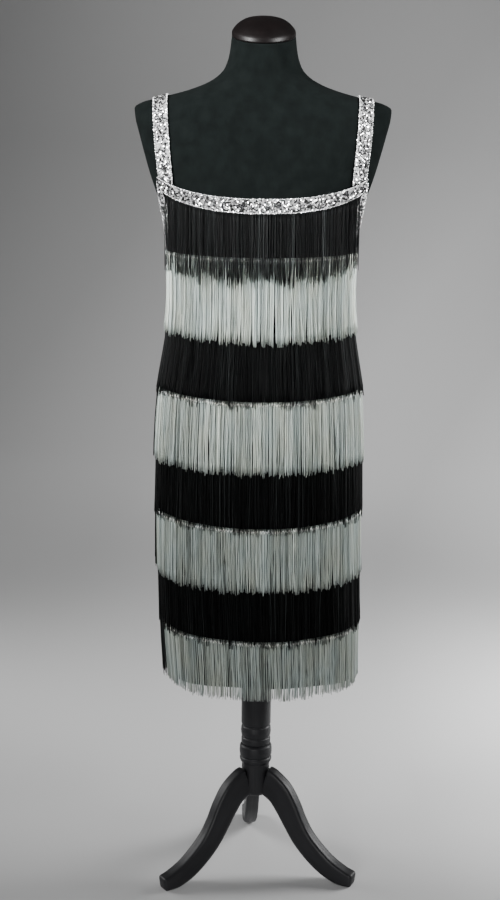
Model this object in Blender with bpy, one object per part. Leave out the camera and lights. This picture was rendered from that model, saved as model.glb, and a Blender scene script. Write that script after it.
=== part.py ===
"""A sleeveless flapper dress with eight rows of fringe, worn by a limbless dress form on a tripod stand.

Metres, +Z up, and the front faces -Y. Left and right are the wearer's, so left is +X.
The form and the dress are rings stacked on the stand's axis: a turn of 0 degrees is the front
centre, 90 the left side, 180 the back centre and 270 the right side.
"""

import math
import random
from collections import namedtuple

import bmesh
import bpy
from mathutils import Vector

# The stand's axis, set back so that the whole object's box is centred on the origin.
AXIS_Y = -0.0334

# Gaps between neighbouring pieces.
SEAM_GAP = 0.0003
STRIP_GAP = 0.0004
TRIM_GAP = 0.0008

# Cloth and trim.
CLOTH = 0.0015
EASE = 0.0025
TRIM_WIDTH = 0.022
TRIM_THICK = 0.0012
TRIM_ROWS = 4
ARMHOLE_STEPS = 18
ARMHOLE_START = 1.2
STRAP_THICK = 0.0015
STRAP_LIFT = 0.0021
STRAP_END_GAP = 0.0006

# The dress's cut, as heights above the floor.
HEM_Z = 0.361
UNDERARM_Z = 1.102
FRONT_NECK_Z = 1.158
BACK_NECK_Z = 1.163
CORNER_Z = 1.190
NECK_DIP = 2.6
ARMHOLE_DIP = 1.7

# Locks of fringe round half of the dress, and the share of each pitch that is the gap.
LOCKS_A_SIDE = 16
LOCK_PITCH = 180.0 / LOCKS_A_SIDE
LOCK_GAP = 2.25
LOCKS_BESIDE_NECK = 3
STRIP_HEIGHT = 0.009
STRAND_THICK = 0.0022
CLEAR_OF_NEXT = 0.0036
FIRST_ROW_EVENED = 0.4
LOWEST_SPREAD = 0.0016
TIP_TAPER = 0.9
TIP_RAGGED = 0.004
TIP_SLANT = 0.003
TIP_LEAN = 0.5
STRIP_OUTS = (CLOTH + STRIP_GAP, CLOTH + STRIP_GAP + STRAND_THICK)

Section = namedtuple("Section", "z half_width front back squareness")
Fold = namedtuple("Fold", "turn depth spread top")
Tier = namedtuple("Tier", "shade heading tip rise bends first_lock")
Station = namedtuple("Station", "reach height depth")
Turning = namedtuple("Turning", "radius z")

FORM_SECTIONS = [
    Section(0.665, 0.1460, 0.0940, 0.1000, 2.20),
    Section(0.675, 0.1530, 0.0990, 0.1060, 2.20),
    Section(0.710, 0.1580, 0.1040, 0.1130, 2.20),
    Section(0.760, 0.1600, 0.1060, 0.1160, 2.20),
    Section(0.810, 0.1560, 0.1020, 0.1100, 2.20),
    Section(0.860, 0.1440, 0.0960, 0.0990, 2.20),
    Section(0.900, 0.1310, 0.0910, 0.0890, 2.20),
    Section(0.940, 0.1230, 0.0890, 0.0830, 2.20),
    Section(0.980, 0.1240, 0.0920, 0.0840, 2.20),
    Section(1.020, 0.1310, 0.1000, 0.0880, 2.25),
    Section(1.060, 0.1410, 0.1110, 0.0940, 2.30),
    Section(1.095, 0.1490, 0.1160, 0.0990, 2.35),
    Section(1.125, 0.1560, 0.1130, 0.1020, 2.50),
    Section(1.160, 0.1680, 0.1060, 0.1040, 2.70),
    Section(1.195, 0.1800, 0.0960, 0.1040, 2.90),
    Section(1.230, 0.1900, 0.0850, 0.1010, 3.00),
    Section(1.260, 0.1980, 0.0750, 0.0950, 3.00),
    Section(1.282, 0.2035, 0.0680, 0.0880, 2.90),
    Section(1.298, 0.2050, 0.0630, 0.0820, 2.70),
    Section(1.306, 0.1945, 0.0612, 0.0785, 2.50),
    Section(1.315, 0.1610, 0.0597, 0.0748, 2.40),
    Section(1.325, 0.1230, 0.0587, 0.0703, 2.30),
    Section(1.336, 0.0930, 0.0581, 0.0650, 2.20),
    Section(1.348, 0.0730, 0.0576, 0.0590, 2.10),
    Section(1.362, 0.0610, 0.0575, 0.0530, 2.00),
    Section(1.384, 0.0540, 0.0570, 0.0480, 2.00),
    Section(1.410, 0.0507, 0.0560, 0.0455, 2.00),
]

# The neck is cut at a slant, lower in front: its rings lean more and more from this height up.
LEAN_FROM_Z = 1.345
NECK_LEAN = 0.30

CAP_SECTIONS = [
    Section(1.4103, 0.0492, 0.0545, 0.0440, 2.0),
    Section(1.4120, 0.0508, 0.0561, 0.0456, 2.0),
    Section(1.4170, 0.0506, 0.0559, 0.0454, 2.0),
    Section(1.4255, 0.0452, 0.0505, 0.0400, 2.0),
    Section(1.4345, 0.0335, 0.0388, 0.0283, 2.0),
    Section(1.4390, 0.0200, 0.0253, 0.0148, 2.0),
]
CAP_TOP_Z = 1.4410

# The dress as a straight tube, where the form doesn't push it out further.
TUBE_SECTIONS = [
    Section(HEM_Z, 0.1605, 0.1010, 0.1040, 2.30),
    Section(0.450, 0.1645, 0.1030, 0.1080, 2.30),
    Section(0.560, 0.1670, 0.1060, 0.1130, 2.30),
    Section(0.660, 0.1685, 0.1090, 0.1180, 2.25),
    Section(0.760, 0.1685, 0.1110, 0.1205, 2.20),
    Section(0.830, 0.1660, 0.1100, 0.1165, 2.20),
    Section(0.880, 0.1605, 0.1095, 0.1110, 2.20),
    Section(0.940, 0.1520, 0.1100, 0.1060, 2.25),
    Section(1.000, 0.1490, 0.1125, 0.1035, 2.30),
    Section(1.060, 0.1510, 0.1165, 0.1030, 2.35),
    Section(UNDERARM_Z, 0.1545, 0.1190, 0.1040, 2.40),
]

# Low down, the dress hangs a little to the left of the stand.
SWAY = 0.008
SWAY_TOP_Z = 0.640

# Soft vertical folds that deepen from their top to the hem. A negative depth is a trough.
FOLDS = [
    Fold(8, 0.0030, 11, 0.66),
    Fold(31, -0.0026, 10, 0.60),
    Fold(52, 0.0034, 12, 0.68),
    Fold(77, -0.0022, 9, 0.55),
    Fold(104, 0.0030, 12, 0.62),
    Fold(133, -0.0036, 11, 0.70),
    Fold(158, 0.0030, 10, 0.58),
    Fold(187, -0.0034, 13, 0.72),
    Fold(214, 0.0032, 11, 0.64),
    Fold(243, -0.0028, 10, 0.57),
    Fold(266, 0.0022, 9, 0.60),
    Fold(291, -0.0030, 11, 0.66),
    Fold(318, 0.0036, 12, 0.70),
    Fold(342, -0.0024, 9, 0.56),
]

# The rows of fringe. A heading of None follows the neckline trim's lower edge, and rise is how
# much higher a heading lies at the side seams. first_lock leaves the cloth bare beside the right
# seam, as the front's pale rows do.
TIERS = [
    Tier("black", None, 1.036, 0.0, 2, 3),
    Tier("silver", 1.068, 0.936, 0.006, 2, 0),
    Tier("black", 0.952, 0.835, 0.011, 2, 0),
    Tier("silver", 0.841, 0.725, 0.012, 2, 1),
    Tier("black", 0.741, 0.628, 0.011, 1, 0),
    Tier("silver", 0.634, 0.529, 0.016, 1, 1),
    Tier("black", 0.545, 0.437, 0.014, 1, 0),
    Tier("silver", 0.442, 0.342, 0.014, 1, 1),
]

PANEL_ROWS = [HEM_Z, 0.47, 0.58, 0.68, 0.76, 0.83, 0.89, 0.95, 1.01, 1.06, 1.095]
ROWS_ABOVE_ARM = 3

# A strap's middle, at the neckline and on top of the shoulder, and where its path turns about.
STRAP_LOW_X = 0.151
STRAP_HIGH_X = 0.163
STRAP_HUB_Y = 0.010
STRAP_HUB_Z = 1.215
STRAP_COLUMNS = 3
STRAP_STEPS = 26

# The stand.
POLE_PROFILE = [
    Turning(0.0240, 0.2243),
    Turning(0.0253, 0.2270),
    Turning(0.0253, 0.2350),
    Turning(0.0232, 0.2375),
    Turning(0.0252, 0.2400),
    Turning(0.0262, 0.2480),
    Turning(0.0252, 0.2560),
    Turning(0.0232, 0.2585),
    Turning(0.0255, 0.2610),
    Turning(0.0255, FORM_SECTIONS[0].z - SEAM_GAP),
]
HUB_RADIUS = 0.0240
HUB_PROFILE = [
    Turning(0.0150, 0.1310),
    Turning(0.0215, 0.1330),
    Turning(HUB_RADIUS, 0.1390),
    Turning(HUB_RADIUS, 0.1900),
    Turning(0.0262, 0.1920),
    Turning(0.0276, 0.1955),
    Turning(0.0276, 0.1990),
    Turning(0.0255, 0.2015),
    Turning(0.0276, 0.2040),
    Turning(0.0282, 0.2120),
    Turning(0.0276, 0.2200),
    Turning(0.0250, 0.2240),
]
TURNED_SIDES = 24
LEG_THICK = 0.024
LEG_TURNS = {"stand_leg_left": 63.6, "stand_leg_right": -56.4, "stand_leg_back": 183.6}
LEG_STATIONS = [
    Station(0.0100, 0.1600, 0.050),
    Station(0.0290, 0.1550, 0.049),
    Station(0.0480, 0.1410, 0.046),
    Station(0.0640, 0.1180, 0.043),
    Station(0.0775, 0.0930, 0.039),
    Station(0.0940, 0.0670, 0.037),
    Station(0.1160, 0.0440, 0.036),
    Station(0.1410, 0.0250, 0.034),
    Station(0.1660, 0.0140, 0.030),
    Station(0.1890, 0.0105, 0.022),
]
FORM_COLUMNS = 32


def smooth_column(table, column, z):
    """One column of a table at height z, by a cubic that never overshoots its rows."""
    heights = [row.z for row in table]
    values = [getattr(row, column) for row in table]
    if z <= heights[0]:
        return values[0]
    if z >= heights[-1]:
        return values[-1]
    steps = [b - a for a, b in zip(heights, heights[1:])]
    rises = [(b - a) / h for a, b, h in zip(values, values[1:], steps)]
    slopes = [rises[0]]
    for before, after in zip(rises, rises[1:]):
        slopes.append(2 * before * after / (before + after) if before * after > 0 else 0.0)
    slopes.append(rises[-1])
    k = max(i for i, height in enumerate(heights[:-1]) if z >= height)
    t = (z - heights[k]) / steps[k]
    return (
        values[k] * (1 + 2 * t) * (1 - t) ** 2
        + slopes[k] * steps[k] * t * (1 - t) ** 2
        + values[k + 1] * t * t * (3 - 2 * t)
        + slopes[k + 1] * steps[k] * t * t * (t - 1)
    )


def section_at(table, z):
    """A smooth section at height z."""
    return Section(z, *(smooth_column(table, name, z) for name in Section._fields[1:]))


def section_between(table, z):
    """The section at height z of a solid that runs straight from row to row."""
    k = max([i for i, row in enumerate(table[:-1]) if z >= row.z] or [0])
    share = (z - table[k].z) / (table[k + 1].z - table[k].z)
    return Section(*(a + (b - a) * share for a, b in zip(table[k], table[k + 1])))


def wall_section(z):
    """The dress's ring at height z: the hanging tube, or the form with some ease where that is wider."""
    tube = section_at(TUBE_SECTIONS, z)
    form = section_at(FORM_SECTIONS, z)
    return Section(
        z,
        max(tube.half_width, form.half_width + EASE),
        max(tube.front, form.front + EASE),
        max(tube.back, form.back + EASE),
        max(tube.squareness, form.squareness),
    )


def ring_point(section, turn):
    """A point of a section's rounded outline, which is an ellipse where squareness is 2."""
    across, ahead = math.sin(math.radians(turn)), math.cos(math.radians(turn))
    power = section.squareness
    swell = (abs(across) ** power + abs(ahead) ** power) ** (-1 / power)
    depth = section.front if ahead > 0 else section.back
    return Vector((section.half_width * across * swell, -depth * ahead * swell, section.z))


def outward(section, turn):
    """The horizontal direction that points out of the ring."""
    along = ring_point(section, turn + 0.5) - ring_point(section, turn - 0.5)
    return Vector((along.y, -along.x, 0)).normalized()


def turn_apart(a, b):
    """How far two turns lie apart, at most half a circle."""
    return abs((a - b + 180) % 360 - 180)


def fold_depth(turn, z):
    """How far the folds move the cloth out at this place."""
    depth = 0.0
    for fold in FOLDS:
        if z < fold.top:
            fall = (fold.top - z) / (fold.top - HEM_Z)
            side = turn_apart(turn, fold.turn) / fold.spread
            depth += fold.depth * fall * math.exp(-side * side)
    return depth


def wall_point(turn, z, out):
    """A point of the dress's wall, moved out of its inner surface."""
    section = wall_section(z)
    aside = Vector((SWAY * (max(SWAY_TOP_Z - z, 0) / (SWAY_TOP_Z - HEM_Z)) ** 1.5, 0, 0))
    return ring_point(section, turn) + outward(section, turn) * (out + fold_depth(turn, z)) + aside


def lock_columns(first, last):
    """The turns of the edges of a half's locks, counted from its first seam."""
    turns = []
    for lock in range(first, last):
        start = -90 + lock * LOCK_PITCH
        turns += [start + LOCK_GAP / 2, start + LOCK_PITCH - LOCK_GAP / 2]
    return turns


CORNER_TURN = lock_columns(LOCKS_A_SIDE - 4, LOCKS_A_SIDE - LOCKS_BESIDE_NECK)[1]
SEAM_TURN = 0.09


def half_turns(middle, first=0):
    """The turns of a half's columns, from seam to seam, for the half round that middle turn."""
    start = -90 + first * LOCK_PITCH
    return [middle + t for t in [start + SEAM_TURN] + lock_columns(first, LOCKS_A_SIDE) + [90 - SEAM_TURN]]


COLUMN_TURNS = half_turns(0) + half_turns(180)


def top_edge(turn):
    """The height of the dress's upper edge: a neckline between the corners, and armholes beyond them."""
    side = turn_apart(turn, 0)
    centre = FRONT_NECK_Z if side <= 90 else BACK_NECK_Z
    side = min(side, 180 - side)
    if side <= CORNER_TURN:
        return centre + (CORNER_Z - centre) * (side / CORNER_TURN) ** NECK_DIP
    beyond = (side - CORNER_TURN) / (90 - CORNER_TURN)
    return UNDERARM_Z + (CORNER_Z - UNDERARM_Z) * (1 - beyond) ** ARMHOLE_DIP


def panel_heights(turn):
    """The heights of a panel's rows on one of its columns."""
    low, high = PANEL_ROWS[-1], top_edge(turn)
    return PANEL_ROWS + [low + (high - low) * (k + 1) / ROWS_ABOVE_ARM for k in range(ROWS_ABOVE_ARM)]


def panel_column(turn, out):
    return [wall_point(turn, z, out) for z in panel_heights(turn)]


def columns_beside(turn):
    """The turns of the panels' columns on both sides of a turn, and how far it lies between them."""
    turn = (turn + 90) % 360 - 90
    after = next((t for t in COLUMN_TURNS if t >= turn), COLUMN_TURNS[0] + 360)
    before = max([t for t in COLUMN_TURNS if t < turn], default=COLUMN_TURNS[-1] - 360)
    return before, after, (turn - before) / (after - before)


def on_panel(turn, z, out):
    """A point on the facets between a panel's columns, moved out, for what lies on the panel."""
    before, after, share = columns_beside(turn)
    column = [a.lerp(b, share) for a, b in zip(panel_column(before, out), panel_column(after, out))]
    k = max([i for i, point in enumerate(column[:-1]) if z >= point.z] or [0])
    return column[k].lerp(column[k + 1], (z - column[k].z) / (column[k + 1].z - column[k].z))


def cloth_top(turn):
    """The height of the panel's cut edge, which runs straight from column to column."""
    before, after, share = columns_beside(turn)
    return top_edge(before) + (top_edge(after) - top_edge(before)) * share


def material(name, colour, roughness, metallic=0.0):
    made = bpy.data.materials.get(name) or bpy.data.materials.new(name)
    made.use_nodes = True
    shader = made.node_tree.nodes["Principled BSDF"]
    shader.inputs["Base Color"].default_value = (*colour, 1)
    shader.inputs["Roughness"].default_value = roughness
    shader.inputs["Metallic"].default_value = metallic
    return made


def materials():
    return {
        "cover": material("form_cover", (0.022, 0.027, 0.027), 0.9),
        "gloss": material("cap_gloss", (0.010, 0.009, 0.009), 0.2),
        "wood": material("stand_wood", (0.018, 0.018, 0.020), 0.45),
        "cloth": material("dress_cloth", (0.008, 0.008, 0.009), 0.8),
        "black": material("fringe_black", (0.006, 0.006, 0.007), 0.5),
        "silver": material("fringe_silver", (0.42, 0.44, 0.42), 0.45),
        "trim": material("trim_silver", (0.80, 0.81, 0.83), 0.25, 0.6),
    }


def solid(name, points, faces, finish, axis):
    """A closed mesh object on the stand's axis, with its faces turned out."""
    mesh = bpy.data.meshes.new(name)
    mesh.from_pydata([tuple(p) for p in points], [], faces)
    shape = bmesh.new()
    shape.from_mesh(mesh)
    bmesh.ops.recalc_face_normals(shape, faces=shape.faces)
    shape.to_mesh(mesh)
    shape.free()
    mesh.shade_smooth()
    mesh.set_sharp_from_angle(angle=math.radians(40))
    mesh.materials.append(finish)
    made = bpy.data.objects.new(name, mesh)
    bpy.context.scene.collection.objects.link(made)
    made.parent = axis
    return made


def stacked_rings(rings, closed_top=None):
    """Points and faces of rings of equal length, capped at the bottom and at the top or in a point."""
    points = [p for ring in rings for p in ring]
    count = len(rings[0])
    faces = [list(range(count))]
    for r in range(len(rings) - 1):
        for c in range(count):
            d = (c + 1) % count
            faces.append([r * count + c, r * count + d, (r + 1) * count + d, (r + 1) * count + c])
    top = (len(rings) - 1) * count
    if closed_top is None:
        faces.append(list(range(top, top + count)))
    else:
        points.append(closed_top)
        faces += [[top + c, top + (c + 1) % count, len(points) - 1] for c in range(count)]
    return points, faces


def form_point(section, turn):
    """A point of the form's surface, whose upper neck leans forward."""
    point = ring_point(section, turn)
    neck_height = FORM_SECTIONS[-1].z - LEAN_FROM_Z
    point.z += point.y * NECK_LEAN * min(max((section.z - LEAN_FROM_Z) / neck_height, 0), 1)
    return point


def form_piece(name, sections, finish, axis, apex=None):
    turns = [360 * k / FORM_COLUMNS for k in range(FORM_COLUMNS)]
    rings = [[form_point(section, turn) for turn in turns] for section in sections]
    return solid(name, *stacked_rings(rings, apex), finish, axis)


def turned_piece(name, profile, finish, axis):
    angles = [2 * math.pi * k / TURNED_SIDES for k in range(TURNED_SIDES)]
    rings = []
    for row in profile:
        rings.append([Vector((row.radius * math.sin(a), -row.radius * math.cos(a), row.z)) for a in angles])
    return solid(name, *stacked_rings(rings), finish, axis)


def leg_outline():
    """The closed outline of a leg in its own upright plane, as (reach, height), flat where it rests."""
    upper, lower = [], []
    for k, here in enumerate(LEG_STATIONS):
        before, after = LEG_STATIONS[max(k - 1, 0)], LEG_STATIONS[min(k + 1, len(LEG_STATIONS) - 1)]
        along = Vector((after.reach - before.reach, after.height - before.height)).normalized()
        across = Vector((-along.y, along.x)) * here.depth / 2
        middle = Vector((here.reach, here.height))
        upper.append(middle + across)
        lower.append(middle - across)
    return [Vector((p.x, max(p.y, 0.0))) for p in upper + lower[::-1]]


def leg(name, turn, finish, axis, socket):
    """A curved board, cut to the hub's curve where it meets it."""
    direction = Vector((math.sin(math.radians(turn)), -math.cos(math.radians(turn)), 0))
    sideways = Vector((-direction.y, direction.x, 0)) * LEG_THICK / 2
    outline = leg_outline()
    count = len(outline)
    points = []
    for side in (-1, 1):
        points += [direction * p.x + Vector((0, 0, p.y)) + sideways * side for p in outline]
    half = count // 2
    faces = []
    for shift in (0, count):
        for k in range(half - 1):
            faces.append([shift + k, shift + k + 1, shift + count - 2 - k, shift + count - 1 - k])
    faces += [[k, (k + 1) % count, count + (k + 1) % count, count + k] for k in range(count)]
    made = solid(name, points, faces, finish, axis)
    cut = made.modifiers.new("hub_socket", "BOOLEAN")
    cut.operation = "DIFFERENCE"
    cut.solver = "EXACT"
    cut.object = socket
    return made


def stand(finish, axis):
    turned_piece("stand_pole", POLE_PROFILE, finish, axis)
    turned_piece("stand_hub", HUB_PROFILE, finish, axis)
    socket_radius = HUB_RADIUS + SEAM_GAP
    socket_profile = [Turning(socket_radius, HUB_PROFILE[0].z), Turning(socket_radius, HUB_PROFILE[-1].z)]
    socket = turned_piece("hub_socket", socket_profile, finish, axis)
    socket.hide_render = True
    socket.display_type = "WIRE"
    for name, turn in LEG_TURNS.items():
        leg(name, turn, finish, axis, socket)


def walled_grid(inner, outer):
    """Points and faces of a closed wall between two grids of the same rows and columns."""
    rows, columns = len(inner), len(inner[0])
    points = [p for row in inner for p in row] + [p for row in outer for p in row]
    shift = rows * columns
    faces = []
    for r in range(rows - 1):
        for c in range(columns - 1):
            quad = [r * columns + c, r * columns + c + 1, (r + 1) * columns + c + 1, (r + 1) * columns + c]
            faces += [quad, [shift + k for k in quad]]
    rim = [(0, c) for c in range(columns)] + [(r, columns - 1) for r in range(1, rows)]
    rim += [(rows - 1, c) for c in range(columns - 2, -1, -1)] + [(r, 0) for r in range(rows - 2, 0, -1)]
    around = [r * columns + c for r, c in rim]
    faces += [[a, b, shift + b, shift + a] for a, b in zip(around, around[1:] + around[:1])]
    return points, faces


def panel(name, middle, finish, axis):
    """Half of the dress's tube, from one side seam to the other."""
    columns = half_turns(middle)
    grids = []
    for out in (0.0, CLOTH):
        grids.append([list(row) for row in zip(*(panel_column(turn, out) for turn in columns))])
    return solid(name, *walled_grid(*grids), finish, axis)


def trim_band(name, places, out, thick, finish, axis):
    """A flat band on the panels. places are pairs of (turn, z): the band's upper and lower edge."""
    grids = []
    for lift in (out, out + thick):
        grid = []
        for k in range(TRIM_ROWS + 1):
            share = k / TRIM_ROWS
            row = []
            for (turn, z), (inner_turn, inner_z) in places:
                row.append(on_panel(turn + (inner_turn - turn) * share, z + (inner_z - z) * share, lift))
            grid.append(row)
        grids.append(grid)
    return solid(name, *walled_grid(*grids), finish, axis)


def neckline_trim(name, middle, finish, axis):
    turns = [middle + t for t in lock_columns(LOCKS_BESIDE_NECK, LOCKS_A_SIDE - LOCKS_BESIDE_NECK)]
    places = [((turn, top_edge(turn)), (turn, top_edge(turn) - TRIM_WIDTH)) for turn in turns]
    return trim_band(name, places, CLOTH + TRIM_GAP, TRIM_THICK, finish, axis)


def armhole_trim(name, side, finish, axis):
    """The band round an armhole, from the front corner under the arm to the back one.

    Its inner edge stops short of the neckline's band and of the first row of fringe.
    """
    start = CORNER_TURN + ARMHOLE_START
    innermost = CORNER_TURN + LOCK_GAP / 4
    places = []
    for k in range(ARMHOLE_STEPS + 1):
        turn = start + (180 - 2 * start) * k / ARMHOLE_STEPS
        z = cloth_top(turn)
        arc = (wall_point(turn + 0.5, z, CLOTH) - wall_point(turn - 0.5, z, CLOTH)).length
        along = Vector((arc * 2, cloth_top(turn + 1) - cloth_top(turn - 1))).normalized()
        inner = min(max(turn + along.y * TRIM_WIDTH / arc, innermost), 180 - innermost)
        places.append(((side * turn, z), (side * inner, z - along.x * TRIM_WIDTH)))
    return trim_band(name, places, CLOTH + TRIM_GAP, TRIM_THICK, finish, axis)


def form_reach(start, direction):
    """How far the form's surface is from a point inside it, in a direction."""
    near, far = 0.0, 0.25
    for _ in range(40):
        middle = (near + far) / 2
        p = start + direction * middle
        section = section_between(FORM_SECTIONS, p.z)
        depth = section.front if p.y < 0 else section.back
        power = section.squareness
        inside = (abs(p.x) / section.half_width) ** power + (abs(p.y) / depth) ** power < 1
        near, far = (middle, far) if inside and p.z < FORM_SECTIONS[-1].z else (near, middle)
    return near


def turn_at_x(x, middle):
    """The turn at which the dress's upper edge is this far from the middle."""
    near, far = (0, CORNER_TURN + 2) if middle == 0 else (0, -CORNER_TURN - 2)
    for _ in range(30):
        turn = (near + far) / 2
        short = wall_point(middle + turn, cloth_top(middle + turn), 0).x < x
        near, far = (turn, far) if short else (near, turn)
    return turn


def strap_end_angle(low_x, middle):
    """The angle, seen from the strap's hub, of the cloth's edge that the strap's edge comes down to."""
    turn = turn_at_x(low_x, middle)
    z = cloth_top(middle + turn) + STRAP_END_GAP
    y = wall_point(middle + turn, z, 0).y
    angle = math.atan2(z - STRAP_HUB_Z, y - STRAP_HUB_Y)
    return angle if angle > -math.pi / 2 else angle + 2 * math.pi


def strap_column(across, thickness):
    """One lengthwise line of a strap on the left shoulder, from front to back."""
    low_x, high_x = STRAP_LOW_X + across, STRAP_HIGH_X + across
    front, back = strap_end_angle(low_x, 0), strap_end_angle(low_x, 180)
    line = []
    for k in range(STRAP_STEPS + 1):
        share = k / STRAP_STEPS
        angle = front + (back - front) * share
        hub = Vector((low_x + (high_x - low_x) * math.sin(math.pi * share), STRAP_HUB_Y, STRAP_HUB_Z))
        direction = Vector((0, math.cos(angle), math.sin(angle)))
        lift = STRAP_LIFT + (EASE - STRAP_LIFT) * abs(2 * share - 1) ** 3
        line.append(hub + direction * (form_reach(hub, direction) + lift + thickness))
    return line


def strap(name, side, finish, axis):
    """A band over the shoulder, from the front panel's corner to the back panel's."""
    offsets = [(c / STRAP_COLUMNS - 0.5) * TRIM_WIDTH for c in range(STRAP_COLUMNS + 1)]
    grids = []
    for thickness in (0.0, STRAP_THICK):
        lines = [strap_column(across, thickness) for across in offsets]
        grids.append([[Vector((p.x * side, p.y, p.z)) for p in row] for row in zip(*lines)])
    return solid(name, *walled_grid(*grids), finish, axis)


def heading_at(tier, turn):
    """The height of the top of a row's heading strip."""
    if tier.heading is None:
        return top_edge(turn) - TRIM_WIDTH - SEAM_GAP
    return tier.heading + tier.rise * math.sin(math.radians(turn)) ** 2


def length_at(number, turn):
    """How far a row's tips hang below the top of its heading. They rise as the next row's heading does,
    and the first row's rise less than its neckline.
    """
    tier = TIERS[number]
    if tier.heading is None:
        centre = heading_at(tier, 0)
        return centre - tier.tip + FIRST_ROW_EVENED * (heading_at(tier, turn) - centre)
    lower = TIERS[min(number + 1, len(TIERS) - 1)]
    return heading_at(tier, turn) - tier.tip - lower.rise * math.sin(math.radians(turn)) ** 2


def row_turns(number, middle):
    """The turns of a row's posts, and whether its first stretch between posts is a gap."""
    if number == 0:
        return [middle + t for t in lock_columns(LOCKS_BESIDE_NECK, LOCKS_A_SIDE - LOCKS_BESIDE_NECK)], False
    first = TIERS[number].first_lock if middle == 0 else 0
    return half_turns(middle, first), True


def hanging_point(turn, z, out):
    """A point that far out of the panel, or straight below it where the cloth has ended."""
    point = on_panel(turn, max(z, HEM_Z), out)
    return Vector((point.x, point.y, z))


def plumb_point(root, z, out):
    """A point straight below a lock's root, or further out where the panel pushes it there."""
    section = wall_section(z)
    depth = section.front if root.y < 0 else section.back
    turn = math.degrees(math.atan2(root.x * depth, -root.y * section.half_width))
    pushed = on_panel(turn, z, out)
    free = math.hypot(root.x, root.y) > math.hypot(pushed.x, pushed.y)
    return Vector((root.x, root.y, z)) if free else Vector((pushed.x, pushed.y, z))


def lock_levels(number, edges, chance):
    """The four corners of a lock at each of its bends. It narrows and swings clear of the next row.

    The first row hangs plumb from the neckline's trim, because the dress curves in below it.
    """
    tier = TIERS[number]
    lean = chance.uniform(-TIP_LEAN, TIP_LEAN)
    ragged = chance.uniform(-TIP_RAGGED, TIP_RAGGED)
    slant = chance.uniform(-TIP_SLANT, TIP_SLANT)
    levels = []
    for bend in range(1, tier.bends + 1):
        share = bend / tier.bends
        corners = []
        for turn, inward in zip(edges, (1, -1)):
            root = heading_at(tier, turn) - STRIP_HEIGHT
            fall = (length_at(number, turn) - STRIP_HEIGHT + ragged - inward * slant) * share
            spread = LOWEST_SPREAD * share
            if number + 1 < len(TIERS):
                lower = heading_at(TIERS[number + 1], turn)
                spread = (CLEAR_OF_NEXT - STRIP_GAP) * fall / (root - lower)
            place = turn + (inward * TIP_TAPER + lean) * share
            z = max(root - fall, TIERS[-1].tip - TIP_RAGGED)
            corner = []
            for out in STRIP_OUTS:
                if number == 0:
                    corner.append(plumb_point(on_panel(place, root, out), z, out + spread))
                else:
                    corner.append(hanging_point(place, z, out + spread))
            corners.append(corner)
        (a, b), (c, d) = corners
        levels.append([a, c, d, b])
    return levels


def fringe_row(name, number, middle, finish, axis):
    """A heading strip with flat locks of strands hanging from it, fused at their roots."""
    chance = random.Random(100 * number + middle)
    turns, gap_first = row_turns(number, middle)
    points, faces = [], []
    for turn in turns:
        top = heading_at(TIERS[number], turn)
        points += [on_panel(turn, z, out) for z in (top, top - STRIP_HEIGHT) for out in STRIP_OUTS]
    for first in (0, len(points) - 4):
        faces.append([first, first + 1, first + 3, first + 2])
    for k in range(len(turns) - 1):
        a, b = [4 * k + i for i in range(4)], [4 * k + 4 + i for i in range(4)]
        faces += [[a[0], b[0], b[1], a[1]], [a[0], b[0], b[2], a[2]], [a[1], b[1], b[3], a[3]]]
        ring = [a[2], b[2], b[3], a[3]]
        if (k % 2 == 0) != gap_first:
            for level in lock_levels(number, turns[k : k + 2], chance):
                new = [len(points) + i for i in range(4)]
                points += level
                faces += [[ring[i], ring[(i + 1) % 4], new[(i + 1) % 4], new[i]] for i in range(4)]
                ring = new
        faces.append(ring)
    return solid(name, points, faces, finish, axis)


def dress(finishes, axis):
    panel("front_panel", 0, finishes["cloth"], axis)
    panel("back_panel", 180, finishes["cloth"], axis)
    neckline_trim("neckline_trim_front", 0, finishes["trim"], axis)
    neckline_trim("neckline_trim_back", 180, finishes["trim"], axis)
    for word, side in (("left", 1), ("right", -1)):
        armhole_trim(f"armhole_trim_{word}", side, finishes["trim"], axis)
        strap(f"strap_{word}", side, finishes["trim"], axis)
    for number, tier in enumerate(TIERS):
        for word, middle in (("front", 0), ("back", 180)):
            fringe_row(f"fringe_{word}_{number + 1}", number, middle, finishes[tier.shade], axis)


def main():
    for old in list(bpy.data.objects):
        bpy.data.objects.remove(old)
    axis = bpy.data.objects.new("stand_axis", None)
    axis.location = (0, AXIS_Y, 0)
    bpy.context.scene.collection.objects.link(axis)
    finishes = materials()
    stand(finishes["wood"], axis)
    form_piece("form_torso", FORM_SECTIONS, finishes["cover"], axis)
    apex = Vector((0, (CAP_SECTIONS[-1].back - CAP_SECTIONS[-1].front) / 2, CAP_TOP_Z))
    form_piece("form_neck_cap", CAP_SECTIONS, finishes["gloss"], axis, apex)
    dress(finishes, axis)


main()
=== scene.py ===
"""The looks of the flapper dress and its dress form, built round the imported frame.

Metres, +Z up, and the front faces -Y. Left and right are the wearer's, so left is +X.
The dress and the form are rings on the stand's axis: a turn of 0 degrees is the front centre,
90 the left side, 180 the back centre and 270 the right side. These rings repeat the frame's own.
"""

import math
from collections import namedtuple

import bpy
import numpy as np
from mathutils import Matrix, Vector
from mathutils.bvhtree import BVHTree


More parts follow.
